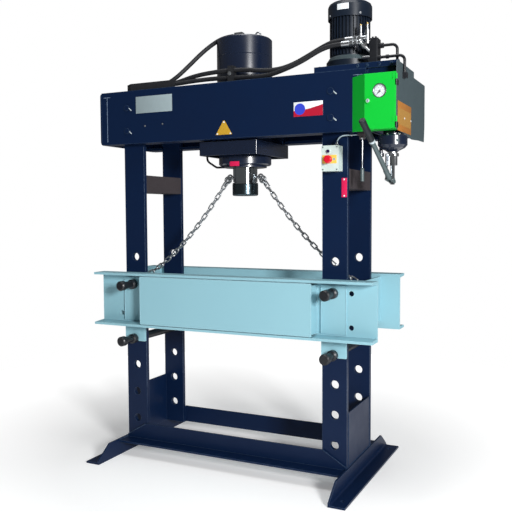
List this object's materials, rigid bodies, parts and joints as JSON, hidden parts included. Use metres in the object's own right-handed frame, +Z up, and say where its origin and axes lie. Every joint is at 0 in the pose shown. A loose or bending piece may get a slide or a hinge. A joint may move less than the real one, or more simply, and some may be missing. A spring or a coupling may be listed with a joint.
{
  "type": "hydraulic press",
  "caption": "Workshop H-frame hydraulic press with a pinned height-adjustable table, a sliding cylinder hung from the upper beam, a motor power unit and a hand pump.",
  "frame": {"origin": "on the floor, in the middle of the rectangle of the four anchor holes in the feet", "axes": "+X along the beam from the end with no power unit towards the power unit, +Y from the front (side of the gauge, knobs and controls) to the back, +Z up"},
  "size_m": [1.835, 1.0262, 2.492],
  "materials": {
    "frame_paint": "gloss",
    "tie_paint": "satin",
    "table_paint": "gloss",
    "cylinder_paint": "gloss",
    "door_paint": "satin",
    "side_plate_paint": "matt",
    "motor_paint": "gloss",
    "pin_black": "satin",
    "lever_grey": "satin",
    "chrome_rod": "polished",
    "bright_steel": "turned",
    "zinc": "zinc plated",
    "black_rubber": "matt",
    "grip_plastic": "matt",
    "box_plastic": "satin",
    "cable_grey": "matt",
    "stop_red": "gloss",
    "start_dark": "gloss",
    "gauge_white": "gloss",
    "needle_black": "matt"
  },
  "bodies": {
    "frame": {"columns_front": "frame_paint", "columns_rear": "frame_paint", "feet": "frame_paint", "floor_rails": "frame_paint", "gusset_plates": "frame_paint", "upper_ties": "tie_paint", "beam_front": "frame_paint", "beam_rear": "frame_paint", "beam_end_caps": "frame_paint", "beam_pins": "frame_paint", "table_beam_front": "table_paint", "table_beam_rear": "table_paint", "table_doublers": "table_paint", "table_tongues": "table_paint", "table_covers": "table_paint", "table_spreaders": "table_paint", "unit_lid": "frame_paint", "tank": "frame_paint", "side_plate": "side_plate_paint", "cabinet": "door_paint", "hinge_leaves": "pin_black", "gauge_case": "gauge_white", "motor_body": "motor_paint", "fan_cowl": "motor_paint", "valve_block": "pin_black", "hose_fittings": "zinc", "steel_pipes": "pin_black", "hose_upper": "black_rubber", "hose_lower": "black_rubber", "control_cable": "cable_grey", "hose_supports": "black_rubber", "pump_body": "cylinder_paint", "pump_cylinder": "bright_steel", "release_valve": "tie_paint", "control_box": "box_plastic"},
    "carriage": {"carriage": "cylinder_paint", "carriage_hangers": "cylinder_paint", "cylinder_barrel": "cylinder_paint", "cylinder_cap": "cylinder_paint", "cap_fittings": "zinc", "rod_gland": "cylinder_paint", "gland_pipe": "zinc", "hose_port": "black_rubber", "chains": "zinc"},
    "ram": {"ram": "chrome_rod", "press_head": "bright_steel", "ram_shackles": "zinc"},
    "pin_upper_left": {"pin_upper_left": "pin_black"},
    "pin_upper_right": {"pin_upper_right": "pin_black"},
    "pin_lower_left": {"pin_lower_left": "pin_black"},
    "pin_lower_right": {"pin_lower_right": "pin_black"},
    "door": {"cabinet_door": "door_paint"},
    "needle": {"gauge_needle": "needle_black"},
    "fan": {"motor_fan": "motor_paint"},
    "lever": {"pump_lever": "lever_grey", "lever_grip": "grip_plastic"},
    "plunger": {"pump_plunger": "bright_steel"},
    "release_lever": {"release_lever": "zinc"},
    "stop_button": {"stop_button": "stop_red"},
    "start_button": {"start_button": "start_dark"}
  },
  "joints": [
    {"name": "carriage_slide", "type": "slide", "parent": "frame", "child": "carriage", "axis": [1, 0, 0], "range_m": [-0.33, 0.33], "deforming": ["hose_port"]},
    {"name": "ram_slide", "type": "slide", "parent": "carriage", "child": "ram", "axis": [0, 0, -1], "range_m": [0, 0.38], "deforming": ["chains"]},
    {"name": "pin_upper_left_slide", "type": "slide", "parent": "frame", "child": "pin_upper_left", "axis": [0, -1, 0], "range_m": [0, 0.47]},
    {"name": "pin_upper_right_slide", "type": "slide", "parent": "frame", "child": "pin_upper_right", "axis": [0, -1, 0], "range_m": [0, 0.47]},
    {"name": "pin_lower_left_slide", "type": "slide", "parent": "frame", "child": "pin_lower_left", "axis": [0, -1, 0], "range_m": [0, 0.47]},
    {"name": "pin_lower_right_slide", "type": "slide", "parent": "frame", "child": "pin_lower_right", "axis": [0, -1, 0], "range_m": [0, 0.47]},
    {"name": "door_hinge", "type": "hinge", "parent": "frame", "child": "door", "pos_m": [0.9665, -0.342, 1.9], "axis": [0, 0, 1], "range_deg": [0, 110]},
    {"name": "needle_hinge", "type": "hinge", "parent": "frame", "child": "needle", "pos_m": [0.884, -0.334, 1.996], "axis": [0, 1, 0], "range_deg": [0, 270]},
    {"name": "fan_hinge", "type": "hinge", "parent": "frame", "child": "fan", "pos_m": [0.657, -0.095, 2.45], "axis": [0, 0, 1], "continuous": true},
    {"name": "lever_hinge", "type": "hinge", "parent": "frame", "child": "lever", "pos_m": [0.90676, -0.22732, 1.58224], "axis": [0.9821, -0.1882, 0], "range_deg": [0, 44]},
    {"name": "plunger_slide", "type": "slide", "parent": "frame", "child": "plunger", "axis": [0, 0, 1], "range_m": [0, 0.02248]},
    {"name": "release_hinge", "type": "hinge", "parent": "frame", "child": "release_lever", "pos_m": [0.765, -0.222, 1.79], "axis": [1, 0, 0], "range_deg": [-25, 25]},
    {"name": "stop_slide", "type": "slide", "parent": "frame", "child": "stop_button", "axis": [0, 1, 0], "range_m": [0, 0.005]},
    {"name": "start_slide", "type": "slide", "parent": "frame", "child": "start_button", "axis": [0, 1, 0], "range_m": [0, 0.003], "stiffness_N_per_m": 1500, "springref_m": -0.002}
  ],
  "couplings": [
    {"joint": "plunger_slide", "follows": "lever_hinge", "m_per_rad": 0.029268}
  ]
}
